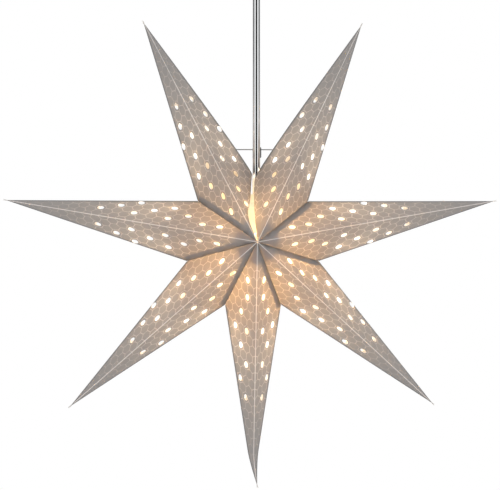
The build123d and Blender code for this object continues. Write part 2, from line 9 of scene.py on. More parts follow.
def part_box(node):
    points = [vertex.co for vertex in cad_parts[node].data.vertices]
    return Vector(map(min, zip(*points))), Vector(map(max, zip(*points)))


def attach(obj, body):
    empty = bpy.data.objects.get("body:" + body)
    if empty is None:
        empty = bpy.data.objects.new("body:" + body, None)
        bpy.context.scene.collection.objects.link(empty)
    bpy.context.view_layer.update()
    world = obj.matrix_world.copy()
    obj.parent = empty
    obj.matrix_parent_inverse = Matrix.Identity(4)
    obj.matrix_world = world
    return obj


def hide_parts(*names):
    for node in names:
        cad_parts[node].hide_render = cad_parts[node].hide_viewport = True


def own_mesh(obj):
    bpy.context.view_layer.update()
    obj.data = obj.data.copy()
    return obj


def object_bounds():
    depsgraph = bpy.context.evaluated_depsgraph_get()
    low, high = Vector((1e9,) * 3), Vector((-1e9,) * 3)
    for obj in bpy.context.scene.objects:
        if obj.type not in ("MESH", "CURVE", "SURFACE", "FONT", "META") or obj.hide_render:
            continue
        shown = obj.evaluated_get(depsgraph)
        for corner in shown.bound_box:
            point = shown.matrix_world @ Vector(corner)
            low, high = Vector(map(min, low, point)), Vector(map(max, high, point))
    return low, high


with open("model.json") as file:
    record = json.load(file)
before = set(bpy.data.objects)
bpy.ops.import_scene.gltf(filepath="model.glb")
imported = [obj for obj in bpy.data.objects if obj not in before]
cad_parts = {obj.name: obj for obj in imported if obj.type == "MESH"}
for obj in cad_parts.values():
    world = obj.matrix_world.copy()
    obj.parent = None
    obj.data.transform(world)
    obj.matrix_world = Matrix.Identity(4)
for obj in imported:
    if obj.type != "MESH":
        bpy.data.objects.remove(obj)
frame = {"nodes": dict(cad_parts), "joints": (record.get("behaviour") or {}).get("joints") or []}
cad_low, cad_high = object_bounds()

# A lit paper star with seven points round a chrome lamp tube. Everything is in metres.

# The folded star, as the CAD model has it
TIP_RADIUS = 0.320
SIDE_RADIUS = 0.3255
VALLEY_RADIUS = 0.090
HALF_DEPTH = 0.090
PAPER = 0.00035
GLUE_GAP = 0.00005          # between two glued layers
VALLEY_GAP = 0.00004        # what each panel stays clear of its valley
PEAK_NIP = 0.0008           # what is cut off at the peaks and the tips
TIP_NIP = 0.001
FLAP_WIDTH = 0.0095
FLAP_INSET = 0.004
FLAP_END = 0.004
PATCH_CARD = 0.0003
PATCH_REACH = 0.0295
PATCH_START = 0.0015
PATCH_SHORT = 0.003         # the card stops this far short of the valley
NO_MARGIN = 0.05            # stands for far away, where a place has no such edge near
FLAP_TAPER = 0.5            # a flap's width near the peak, as a share of the distance from it
FLAP_END_SHARE = 0.7        # how much of its width a flap keeps at its outer end
CELL_ACROSS = 0.0138        # between the middles of two printed cells, across and along the ridge
CELL_ALONG = 0.01125
HOLE_RADIUS = 0.0044
FIRST_HOLE = 0.0769         # from the peak, in the row beside the ridge
HOLE_ROWS = 3
HOLE_EDGE = 0.0012          # the least paper between a hole and the side crease
# The slit's corner and front edge on both sides: X and Z from the star's middle
SLIT_CORNERS = {"upper_left": (-0.0010, 0.0890), "upper_right": (0.0034, 0.0860)}
SLIT_EDGES = {
    "upper_left": ((-0.0057, 0.0510), (-0.0126, 0.0336)),
    "upper_right": ((0.0006, 0.0760), (-0.0014, 0.0340)),
}
SLIT_ROOM = 0.0022          # between the tube and the slit's rear edge

# What the paper does beyond its flat pattern
MESH_STEP = 0.008           # between the points that a sheet is made of
HOLE_SIDES = 20
CREASE_SOFT = 0.0026        # the side creases are rounded this far in
CREASE_ROWS = (0.33, 0.67, 1.0)     # rows of points in that rounding, as shares of its width
EDGE_CLEAR = 0.0012         # points inside a panel stay this far from its outline
BULGE = 0.001               # how far the panels stand out of flat
BULGE_ALONG = 14            # how quickly the bulges change along a ridge, and across it
BULGE_ACROSS = 22
BULGE_CALM = 0.02           # the bulges fade out over this width next to every fold and edge
SHARP_FOLD = radians(30)    # edges that turn by more than this are folds
CURL_REACH = 0.012          # the slit's left edge curls away over this width
CURL_DEPTH = 0.0025
SLIT_BOW = 0.0022           # the side creases above the slit bow outwards this far
SLIT_BOW_FRONT = 0.030      # the paper next to them joins in over this width, in front and behind
SLIT_BOW_REAR = 0.010
SLIT_BOW_LEAN = 0.6         # under 1, the bow is widest nearer the slit than the tip
TIP_BEND = 0.0062           # the lowest tip leans to one side
TIP_BEND_REACH = 0.050

POINTS = {                  # turn from straight down, and the joint that folds the point
    "upper_left": (-153.4, "fold_upper_left"),
    "left": (-99.6, "fold_left"),
    "lower_left": (-48.1, "fold_lower_left"),
    "bottom": (0.0, "fold_upper_right"),
    "lower_right": (48.1, "fold_lower_right"),
    "right": (99.6, "fold_right"),
    "upper_right": (153.4, "fold_upper_right"),
}
NAMES = list(POINTS)
LONG_POINTS = ("left", "right")

JOINTS = {joint["name"]: joint for joint in frame["joints"]}
STAR = Vector(JOINTS["fold_right"]["pos_m"])
PEAKS = (STAR + Vector((0, -HALF_DEPTH, 0)), STAR + Vector((0, HALF_DEPTH, 0)))


def point_body(name):
    """The CAD body that a star point belongs to."""
    return "star_base" if name == "bottom" else f"fan_{name}"


def add_object(name, data):
    """A new object in the scene."""
    made = bpy.data.objects.new(name, data)
    bpy.context.scene.collection.objects.link(made)
    return made


# Camera

CAMERA_DISTANCE = 1.518
CAMERA_TURN = radians(-3.5)
LENS = 84.4
SHIFT = (-0.0061, -0.0061)


def add_camera():
    data = bpy.data.cameras.new("camera")
    data.lens = LENS
    data.shift_x, data.shift_y = SHIFT
    camera = add_object("camera", data)
    away = Vector((sin(CAMERA_TURN), -cos(CAMERA_TURN), 0)) * CAMERA_DISTANCE
    camera.location = STAR + away
    camera.rotation_euler = (-away).to_track_quat("-Z", "Y").to_euler()
    bpy.context.scene.camera = camera


# Paper geometry

class Panel:
    """One flat side of a star point: along runs up the ridge, across towards the corner."""

    def __init__(self, peak, tip, corner):
        self.peak, self.tip, self.corner = peak, tip, corner
        self.along = (tip - peak).normalized()
        reach = corner - peak
        self.across = (reach - self.along * reach.dot(self.along)).normalized()
        self.inward = self.along.cross(self.across)
        if self.inward.dot(STAR - peak) < 0:
            self.inward.negate()
        self.flat_tip, self.flat_corner = self.flat(tip), self.flat(corner)
        self.crease = (self.flat_tip - self.flat_corner).normalized()
        self.valley = self.flat_corner.normalized()
        self.to_ridge = Vector((self.valley.y, -self.valley.x))

    def flat(self, point):
        """How far along and across a place is, from the peak."""
        reach = point - self.peak
        return Vector((reach.dot(self.along), reach.dot(self.across)))

    def place(self, flat, depth=0.0):
        return self.peak + self.along * flat.x + self.across * flat.y + self.inward * depth

    def seen_at(self, x, z):
        """The flat place that is seen from the front at X and Z of the star."""
        reach = STAR + Vector((x, 0, z)) - self.peak
        depth = -(self.inward.x * reach.x + self.inward.z * reach.z) / self.inward.y
        return self.flat(Vector((STAR.x + x, self.peak.y + depth, STAR.z + z)))

    def from_crease(self, flat):
        """The distance from the side crease."""
        reach = flat - self.flat_corner
        return abs(reach.x * self.crease.y - reach.y * self.crease.x)

    def from_valley(self, flat):
        """The distance from the line between the peak and the corner."""
        return abs(flat.dot(self.to_ridge))

    def hole_places(self):
        """The middles of the holes: every fourth cell of each row that has paper all round."""
        places = []
        for row in range(HOLE_ROWS):
            across = (row + 1.5) * CELL_ACROSS
            start = FIRST_HOLE + row * 2 * CELL_ALONG
            every = 4 * CELL_ALONG
            along = [start + step * every for step in range(int(TIP_RADIUS // every))]
            if row == 0:
                along.insert(0, start - 2 * CELL_ALONG)
            for x in along:
                inside = across < abs(self.flat_tip.x - x) * abs(self.crease.y / self.crease.x)
                clear = self.from_crease(Vector((x, across))) > HOLE_RADIUS + HOLE_EDGE
                if inside and clear and x < self.flat_tip.x:
                    places.append(Vector((x, across)))
        return places


def spoke(turn, radius):
    """A place in the star's middle plane: turned from straight down, at a radius."""
    return STAR + Vector((sin(radians(turn)), 0, -cos(radians(turn)))) * radius


TIPS = {
    name: spoke(turn, SIDE_RADIUS if name in LONG_POINTS else TIP_RADIUS)
    for name, (turn, _) in POINTS.items()
}


def corner_between(name, step):
    """The corner beside a point: step -1 is the one before it and 1 the one after it."""
    number = NAMES.index(name) + step
    if 0 <= number < len(NAMES):
        return spoke((POINTS[name][0] + POINTS[NAMES[number]][0]) / 2, VALLEY_RADIUS)
    x, z = SLIT_CORNERS[name]
    return STAR + Vector((x, 0, z))


SLIT_CORNER_PLACES = [STAR + Vector((x, 0, z)) for x, z in SLIT_CORNERS.values()]


def is_slit_side(name, step):
    return not 0 <= NAMES.index(name) + step < len(NAMES)


def between(start, end, step):
    """Places from start to end, about a step apart, measured from start, without the end."""
    length = (end - start).length
    count = int(length / step)
    gaps = [start + (end - start) * (number * step / length) for number in range(count + 1)]
    if gaps and (end - gaps[-1]).length < step / 3:
        gaps.pop()
    return gaps or [start]


def round_off(points, rounds=3):
    """A smoother open line through fewer corners, with the ends kept."""
    for _ in range(rounds):
        cut = [points[0]]
        for a, b in zip(points, points[1:]):
            cut += [a.lerp(b, 0.25), a.lerp(b, 0.75)]
        points = cut + [points[-1]]
    return points


def valley_stations(panel):
    """Distances from the peak, along a valley, where both the panel and its flap have points."""
    length = panel.flat_corner.length
    count = round((length - FLAP_END - FLAP_INSET) / MESH_STEP)
    step = (length - FLAP_END - FLAP_INSET) / count
    return [FLAP_INSET + number * step for number in range(count + 1)]


def outline(panel, name, step):
    """A panel's edge: up the ridge, down the side crease, then back along its valley or slit."""
    ridge_end = Vector((panel.flat_tip.x - TIP_NIP, 0))
    nipped = panel.flat_tip - panel.crease * TIP_NIP
    if is_slit_side(name, step):
        if panel.peak.y < STAR.y:
            shaped = [panel.seen_at(x, z) for x, z in SLIT_EDGES[name]]
            edge = round_off([panel.flat_corner] + shaped + [shaped[-1].normalized() * PEAK_NIP])
        else:
            tube_low, tube_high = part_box("lamp_tube")
            side = 1 if panel.tip.x > STAR.x else -1
            clear_x = side * ((tube_high.x - tube_low.x) / 2 + SLIT_ROOM)
            share = (clear_x - panel.corner.x) / (panel.tip.x - panel.corner.x)
            start = panel.flat(panel.corner.lerp(panel.tip, share))
            edge = between(start, start.normalized() * PEAK_NIP, MESH_STEP)
            edge.append(start.normalized() * PEAK_NIP)
    else:
        gap = panel.to_ridge * VALLEY_GAP
        corner = panel.flat_corner + panel.crease * (VALLEY_GAP / panel.crease.dot(panel.to_ridge))
        edge = [corner] + [panel.valley * at + gap for at in reversed(valley_stations(panel))]
        edge.append(panel.valley * PEAK_NIP + gap)
    ridge = between(Vector((PEAK_NIP, 0)), ridge_end, MESH_STEP)
    return ridge + [ridge_end] + between(nipped, edge[0], MESH_STEP) + edge


def flat_mesh(panel, name, step):
    """Triangles over one panel, with its punched holes left open: (flat points, triangles)."""
    edge = outline(panel, name, step)
    points = list(edge)
    lines = [(number, (number + 1) % len(edge)) for number in range(len(edge))]
    holes = panel.hole_places()
    for hole in holes:
        first = len(points)
        for number in range(HOLE_SIDES):
            turn = 2 * pi * number / HOLE_SIDES
            points.append(hole + Vector((cos(turn), sin(turn))) * HOLE_RADIUS)
            lines.append((first + number, first + (number + 1) % HOLE_SIDES))
    crease_inward = Vector((panel.crease.y, -panel.crease.x))
    if crease_inward.dot(panel.flat_corner) > 0:
        crease_inward.negate()
    nipped = panel.flat_tip - panel.crease * TIP_NIP
    extra = []
    for share in CREASE_ROWS:
        for place in between(nipped, panel.flat_corner, MESH_STEP * 0.75):
            extra.append(place + crease_inward * (CREASE_SOFT * share))
    count_along = int(panel.flat_tip.x / MESH_STEP) + 1
    count_across = int(panel.flat_corner.y / MESH_STEP) + 1
    for i in range(count_along):
        for j in range(count_across):
            place = Vector((i + 0.5 * (j % 2) + 0.25, (j + 0.5) * 0.87)) * MESH_STEP
            if panel.from_crease(place) > CREASE_SOFT * 1.8:
                extra.append(place)
    for place in extra:
        past_crease = (place - panel.flat_corner).dot(crease_inward) < 0
        below_ridge = place.y < MESH_STEP / 4
        in_hole = any((place - hole).length < HOLE_RADIUS * 1.25 for hole in holes)
        near_edge = any((place - other).length < EDGE_CLEAR for other in edge)
        if not (past_crease or below_ridge or in_hole or near_edge):
            points.append(place)
    made, _, triangles, _, _, _ = delaunay_2d_cdt(points, lines, [], 1, 1e-7)
    kept = []
    for triangle in triangles:
        middle = sum((made[corner] for corner in triangle), Vector((0, 0))) / 3
        if all((middle - hole).length > HOLE_RADIUS * 0.95 for hole in holes):
            kept.append(tuple(triangle))
    return made, kept


def soft_place(panel, flat, seed, slit_curl):
    """Where a flat place lies on the real sheet: a little bowed, and rounded at its side crease."""
    from_crease = panel.from_crease(flat)
    from_edges = min(from_crease, panel.from_valley(flat), flat.y)
    calm = min(1.0, from_edges / BULGE_CALM) ** 1.5
    wave = noise.noise(Vector((flat.x * BULGE_ALONG, flat.y * BULGE_ACROSS, seed))) - 0.25
    place = panel.place(flat, -BULGE * wave * calm)
    if slit_curl:
        from_slit = min(1.0, panel.from_valley(flat) / CURL_REACH)
        place += panel.inward * CURL_DEPTH * (1 - from_slit) ** 2 * calm_near_ends(panel, flat)
    if from_crease < CREASE_SOFT:
        share = (1 - from_crease / CREASE_SOFT) / 2
        own = crease_inward_of(panel)
        other = Vector((own.x, -own.y, own.z))
        rounded = own * (1 - share) ** 2 + other * share ** 2
        place += rounded * CREASE_SOFT - own * from_crease
    if panel.corner in SLIT_CORNER_PLACES:
        place += slit_bow(panel, flat, from_crease)
    return place


def slit_bow(panel, flat, from_crease):
    """How far the paper beside the slit, and above it, bows towards the tube."""
    crease = panel.tip - panel.corner
    share = (flat - panel.flat_corner).dot(panel.crease) / crease.length
    along = sin(pi * max(0.0, min(1.0, share)) ** SLIT_BOW_LEAN)
    reach = SLIT_BOW_FRONT if panel.peak.y < STAR.y else SLIT_BOW_REAR
    outward = -crease_inward_of(panel)
    outward.y = 0
    return outward.normalized() * SLIT_BOW * along * max(0.0, 1 - from_crease / reach) ** 2


def crease_inward_of(panel):
    """The direction from the side crease into the panel."""
    crease = (panel.tip - panel.corner).normalized()
    reach = panel.peak - panel.corner
    return (reach - crease * reach.dot(crease)).normalized()


def calm_near_ends(panel, flat):
    """1 along the middle of the slit's edge, falling to 0 at its two ends."""
    share = flat.length / panel.flat_corner.length
    return max(0.0, min(1.0, 4 * share * (1 - share)))


class Sheet:
    """Collects the vertices, faces and pattern coordinates of one star point."""

    def __init__(self):
        self.places, self.faces, self.patterns, self.margins = [], [], [], []
        self.known = {}

    def vertex(self, place):
        key = tuple(round(value * 1e5) for value in place)
        for dx in (-1, 0, 1):
            for dy in (-1, 0, 1):
                for dz in (-1, 0, 1):
                    near = (key[0] + dx, key[1] + dy, key[2] + dz)
                    if near in self.known:
                        return self.known[near]
        self.known[key] = len(self.places)
        self.places.append(place)
        return self.known[key]

    def face(self, corners, inward, patterns, margins):
        numbers = [self.vertex(place) for place in corners]
        if len(set(numbers)) < len(numbers):
            return
        edge_a, edge_b = corners[1] - corners[0], corners[-1] - corners[0]
        if edge_a.cross(edge_b).dot(inward) > 0:
            numbers, patterns, margins = numbers[::-1], patterns[::-1], margins[::-1]
        self.faces.append(numbers)
        self.patterns += patterns
        self.margins += margins


def add_panel(sheet, name, panel, step, seed):
    """One panel of a point, bowed and with its holes."""
    slit = is_slit_side(name, step)
    front = panel.peak.y < STAR.y
    glued_over = step == 1 and not slit
    curl = slit and front and name == "upper_left"
    flats, triangles = flat_mesh(panel, name, step)
    soft = [soft_place(panel, flat, seed, curl) for flat in flats]
    margins = [
        (panel.from_crease(flat), panel.from_valley(flat) if glued_over else NO_MARGIN)
        for flat in flats
    ]
    for triangle in triangles:
        sheet.face(
            [soft[corner] for corner in triangle],
            panel.inward,
            [tuple(flats[corner]) for corner in triangle],
            [margins[corner] for corner in triangle],
        )


def add_flap(sheet, panel, neighbour):
    """The strip that a panel has along its valley, glued inside the neighbour's panel."""
    depth = PAPER + GLUE_GAP
    corner_way = (panel.corner - panel.peak).normalized()
    to_neighbour = neighbour.inward.cross(corner_way)
    if to_neighbour.dot(neighbour.tip - neighbour.peak) < 0:
        to_neighbour.negate()
    rows = []
    stations = valley_stations(panel)
    for number, at in enumerate(stations):
        root = panel.peak + corner_way * at + neighbour.inward * depth
        width = min(FLAP_WIDTH, at * FLAP_TAPER)
        if number == len(stations) - 1:
            width *= FLAP_END_SHARE
        own = panel.place(panel.valley * at + panel.to_ridge * VALLEY_GAP)
        rows.append((own, root, root + to_neighbour * width))
    for at, row, after in zip(stations, rows, rows[1:]):
        for side in (0, 1):
            patterns = [
                tuple(panel.valley * (at + ahead * MESH_STEP) - panel.to_ridge * (FLAP_WIDTH * out))
                for ahead, out in ((0, side), (1, side), (1, side + 1), (0, side + 1))
            ]
            sheet.face(
                [row[side], after[side], after[side + 1], row[side + 1]],
                (neighbour.inward + panel.inward) if side == 0 else neighbour.inward,
                patterns,
                [(NO_MARGIN, 0.0)] * 4,
            )


def lean_tip(place):
    """The lowest point's tip leans to one side."""
    above_tip = place.z - (STAR.z - TIP_RADIUS)
    share = max(0.0, 1 - above_tip / TIP_BEND_REACH)
    return place + Vector((TIP_BEND * share ** 1.5, 0, 0))


def paper_point(name, outside, inside):
    """A star point: four panels of one folded sheet with its two flaps, as thick as paper."""
    sheet = Sheet()
    number = NAMES.index(name)
    for peak_number, peak in enumerate(PEAKS):
        for step in (-1, 1):
            panel = Panel(peak, TIPS[name], corner_between(name, step))
            add_panel(sheet, name, panel, step, seed=number * 4 + peak_number * 2 + step)
            if step == -1 and number > 0:
                neighbour = Panel(peak, TIPS[NAMES[number - 1]], panel.corner)
                add_flap(sheet, panel, neighbour)
    places = [lean_tip(place) for place in sheet.places] if name == "bottom" else sheet.places
    mesh = bpy.data.meshes.new(f"paper_point_{name}")
    mesh.from_pydata(places, [], sheet.faces)
    for label, values in (("pattern", sheet.patterns), ("margins", sheet.margins)):
        layer = mesh.uv_layers.new(name=label)
        layer.data.foreach_set("uv", [value for pair in values for value in pair])
    mesh.shade_smooth()
    mesh.set_sharp_from_angle(angle=SHARP_FOLD)
    mesh.materials.append(outside)
    mesh.materials.append(inside)
    point = add_object(f"paper_point_{name}", mesh)
    thicken(point, PAPER, 1)
    hang(point, name, f"point_{name}")


def card_patch(name, card):
    """The folded strips of card that double the paper at a point's two peaks."""
    places, faces = [], []
    deep = 2 * (PAPER + GLUE_GAP) + GLUE_GAP
    for peak in PEAKS:
        panels = [Panel(peak, TIPS[name], corner_between(name, step)) for step in (-1, 1)]
        bend = panels[0].inward.angle(panels[1].inward)
        for step, panel in zip((-1, 1), panels):
            if is_slit_side(name, step):
                continue
            mitre = deep * tan(bend / 2)
            slope = panel.flat_corner.y / panel.flat_corner.x
            outline_flat = (
                (PATCH_START + mitre, mitre),
                (PATCH_REACH, mitre),
                (PATCH_REACH, slope * PATCH_REACH - PATCH_SHORT),
                (2 * PATCH_START + mitre, mitre + slope * PATCH_START),
            )
            corners = [panel.place(Vector(flat), deep) for flat in outline_flat]
            if (corners[1] - corners[0]).cross(corners[2] - corners[0]).dot(panel.inward) > 0:
                corners.reverse()
            faces.append(range(len(places), len(places) + len(corners)))
            places += corners
    mesh = bpy.data.meshes.new(f"card_patch_{name}")
    mesh.from_pydata(places, [], faces)
    mesh.materials.append(card)
    patch = add_object(f"card_patch_{name}", mesh)
    thicken(patch, PATCH_CARD, 0)
    hang(patch, name, f"patch_{name}")


def thicken(piece, thickness, inner_material):
    """Makes a solid of a sheet, on its inner side, with that material number inside."""
    solidify = piece.modifiers.new("thickness", "SOLIDIFY")
    solidify.thickness = thickness
    solidify.offset = -1
    solidify.material_offset = inner_material
    solidify.material_offset_rim = inner_material
    depsgraph = bpy.context.evaluated_depsgraph_get()
    made = bpy.data.meshes.new_from_object(piece.evaluated_get(depsgraph))
    made.name = piece.name
    piece.modifiers.clear()
    piece.data = made


def hang(piece, name, node):
    """The piece stands for a soft CAD node of a star point, which is hidden, and hangs from the
    point's body.
    """
    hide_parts(node)
    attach(piece, point_body(name))
    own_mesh(piece)


def copy_of_node(node, label, material):
    """The CAD node's own shape as a new piece."""
    mesh = frame["nodes"][node].data.copy()
    mesh.materials.clear()
    mesh.materials.append(material)
    return add_object(label, mesh)


# Materials

def scaled(colour, share):
    """A darker or lighter tone of the colour."""
    return tuple(min(1.0, share * level) for level in colour)


class Recipe:
    """A material or a node group under construction."""

    def __init__(self, tree):
        self.tree = tree

    def add(self, kind, values=None, **settings):
        """A new node with its settings, and with numbers or links on its sockets."""
        node = self.tree.nodes.new(kind)
        for label, value in settings.items():
            setattr(node, label, value)
        for socket, value in (values or {}).items():
            if hasattr(value, "is_output"):
                self.tree.links.new(value, node.inputs[socket])
            else:
                node.inputs[socket].default_value = value
        return node

    def math(self, operation, *terms):
        """One step of arithmetic on numbers or sockets."""
        node = self.add("ShaderNodeMath", operation=operation)
        self.fill(node, terms)
        return node.outputs[0]

    def vector(self, operation, *terms):
        """One step of arithmetic on vectors."""
        node = self.add("ShaderNodeVectorMath", operation=operation)
        self.fill(node, terms)
        return node.outputs["Value" if operation == "DOT_PRODUCT" else "Vector"]

    def fill(self, node, terms):
        """Numbers or links on a node's first sockets, in their order."""
        for socket, term in zip(node.inputs, terms):
            if hasattr(term, "is_output"):
                self.tree.links.new(term, socket)
            else:
                socket.default_value = term

    def step(self, value, low, high):
        """0 below low, 1 above high, and smooth between them."""
        node = self.add("ShaderNodeMapRange", interpolation_type="SMOOTHSTEP")
        self.fill(node, (value, low, high))
        return node.outputs[0]

    def mix(self, share, first, second):
        """The first colour where the share is 0, and the second where it is 1."""
        node = self.add("ShaderNodeMix", data_type="RGBA")
        self.fill(node, (share,))
        for socket, value in ((node.inputs[6], first), (node.inputs[7], second)):
            if hasattr(value, "is_output"):
                self.tree.links.new(value, socket)
            else:
                socket.default_value = (*value, 1.0)
        return node.outputs[2]

    def tone(self, share, colour, darker, lighter):
        """The colour times darker to lighter, as the share goes from 0 to 1."""
        return self.mix(share, scaled(colour, darker), scaled(colour, lighter))

    def spread(self, share, low, high):
        """From low to high, as the share goes from 0 to 1."""
        node = self.add("ShaderNodeMapRange")
        self.fill(node, (share, 0.0, 1.0, low, high))
        return node.outputs[0]

    def parts(self, vector):
        """A vector's first two numbers."""
        return [self.vector("DOT_PRODUCT", vector, axis) for axis in ((1, 0, 0), (0, 1, 0))]

    def use(self, group, place, label, value):
        """A node group at a place, with its other input set: its outputs."""
        return self.add("ShaderNodeGroup", {"Place": place, label: value}, node_tree=group).outputs

    def own_place(self):
        """Coordinates that stay with the piece."""
        return self.add("ShaderNodeTexCoord").outputs["Object"]


def new_group(name, inputs, outputs):
    """An empty node group with those sockets: (recipe, its input sockets, its output node)."""
    tree = bpy.data.node_groups.new(name, "ShaderNodeTree")
    for label, kind in inputs:
        tree.interface.new_socket(label, in_out="INPUT", socket_type=f"NodeSocket{kind}")
    for label, kind in outputs:
        tree.interface.new_socket(label, in_out="OUTPUT", socket_type=f"NodeSocket{kind}")
    recipe = Recipe(tree)
    return recipe, recipe.add("NodeGroupInput").outputs, recipe.add("NodeGroupOutput")


def make_honeycomb():
    """Lines round the cells of a honeycomb whose flat sides run along the ridge."""
    recipe, given, end = new_group(
        "honeycomb",
        [("Place", "Vector"), ("Line Width", "Float")],
        [("Line", "Float")],
    )
    half_across = CELL_ACROSS / 2
    lean = (CELL_ACROSS * 0.75 / CELL_ALONG, 0.5, 0)
    from_centre = []
    for offset in ((FIRST_HOLE, half_across, 0), (FIRST_HOLE + CELL_ALONG, 0, 0)):
        moved = recipe.vector("SUBTRACT", given["Place"], offset)
        limit = (CELL_ALONG, half_across, 1)
        wrapped = recipe.vector("WRAP", moved, limit, tuple(-size for size in limit))
        away = recipe.vector("ABSOLUTE", wrapped)
        slanted = recipe.vector("DOT_PRODUCT", away, lean)
        straight = recipe.vector("DOT_PRODUCT", away, (0, 1, 0))
        from_centre.append(recipe.math("MAXIMUM", slanted, straight))
    nearest = recipe.math("MINIMUM", *from_centre)
    from_side = recipe.math("SUBTRACT", half_across, nearest)
    half_line = recipe.math("MULTIPLY", given["Line Width"], 0.5)
    outer = recipe.math("MULTIPLY", half_line, 1.5)
    covered = recipe.add("ShaderNodeMapRange", interpolation_type="SMOOTHSTEP")
    recipe.fill(covered, (from_side, recipe.math("MULTIPLY", half_line, 0.5), outer, 1.0, 0.0))
    recipe.tree.links.new(covered.outputs[0], end.inputs["Line"])
    return recipe.tree


def make_fibres():
    """Fine fibres and soft clouds of thicker and thinner paper."""
    recipe, given, end = new_group(
        "paper_fibres",
        [("Place", "Vector"), ("Cloud Size", "Float")],
        [("Cloud", "Float"), ("Fibre", "Float")],
    )
    cloud = recipe.add("ShaderNodeTexNoise", {"Vector": given["Place"], "Detail": 3.0})
    recipe.tree.links.new(given["Cloud Size"], cloud.inputs["Scale"])
    fibre = recipe.add("ShaderNodeTexNoise", {
        "Vector": given["Place"], "Scale": 900.0, "Detail": 4.0,
        "Roughness": 0.7, "Distortion": 1.5,
    })
    recipe.tree.links.new(cloud.outputs["Fac"], end.inputs["Cloud"])
    recipe.tree.links.new(fibre.outputs["Fac"], end.inputs["Fibre"])
    return recipe.tree


def make_handling():
    """Faint smudges and fine scratches for metal and moulded surfaces."""
    recipe, given, end = new_group(
        "handling_marks",
        [("Place", "Vector"), ("Grain", "Float")],
        [("Smudge", "Float"), ("Scratch", "Float")],
    )
    smudge = recipe.add(
        "ShaderNodeTexNoise", {"Vector": given["Place"], "Scale": 60.0, "Detail": 5.0}
    )
    stretched = recipe.vector("MULTIPLY", given["Place"], (1.0, 1.0, 0.06))
    scratch = recipe.add(
        "ShaderNodeTexNoise", {"Vector": stretched, "Detail": 6.0, "Roughness": 0.8}
    )
    recipe.tree.links.new(given["Grain"], scratch.inputs["Scale"])
    recipe.tree.links.new(smudge.outputs["Fac"], end.inputs["Smudge"])
    recipe.tree.links.new(scratch.outputs["Fac"], end.inputs["Scratch"])
    return recipe.tree


HONEYCOMB = make_honeycomb()
FIBRES = make_fibres()
HANDLING = make_handling()


def new_material(name):
    """A node material with nothing in it: (material, recipe, output node)."""
    material = bpy.data.materials.new(name)
    material.use_nodes = True
    material.node_tree.nodes.clear()
    recipe = Recipe(material.node_tree)
    return material, recipe, recipe.add("ShaderNodeOutputMaterial")


def finish_thin(recipe, output, surface, glow, share, height, bump_strength, roughness):
    """Paper or card: part of the light is scattered back and the other share goes through."""
    bump = recipe.add(
        "ShaderNodeBump", {"Strength": bump_strength, "Distance": 0.0002, "Height": height}
    )
    face = recipe.add("ShaderNodeBsdfPrincipled", {
        "Base Color": surface,
        "Roughness": roughness,
        "Normal": bump.outputs[0],
        "Specular IOR Level": 0.25,
    })
    through = recipe.add("ShaderNodeBsdfTranslucent", {"Color": glow})
    both = recipe.add("ShaderNodeMixShader", {0: share})
    recipe.tree.links.new(face.outputs[0], both.inputs[1])
    recipe.tree.links.new(through.outputs[0], both.inputs[2])
    recipe.tree.links.new(both.outputs[0], output.inputs["Surface"])


# What the printed paper reflects, then what passes through it
GROUND_FACE = (0.56, 0.545, 0.54)
LINE_FACE = (0.80, 0.75, 0.735)
RIDGE_FACE = (1.0, 0.95, 0.94)
GROUND_GLOW = (0.225, 0.184, 0.132)
LINE_GLOW = (0.52, 0.45, 0.38)
RIDGE_GLOW = (0.66, 0.64, 0.62)
BORDER_SHADE_FACE = 0.64          # the plain border's tone beside the ground's, on its face, darkened as painted shade beside the side crease
BORDER_SHADE_GLOW = 0.1           # and in what passes through it, also painted shade
PAPER_THROUGH = 0.5         # the share of light that goes through
CARD_THROUGH = 0.75
LINE_WIDTH = 0.0010
LINE_WANDER = 0.0015        # how far the printed lines stray
LINE_WANDER_SCALE = 70.0
WORN_SCALE = 230.0          # size and strength of the spots where the print is worn
WORN_FROM, WORN_TO = 0.28, 0.48
RIDGE_LINE = 0.0009         # half the width of the pale line on a ridge
PLAIN_BORDER = 0.0048
FADE_START = 0.18           # the print grows fainter from here towards the tip
FADE_END = 0.36


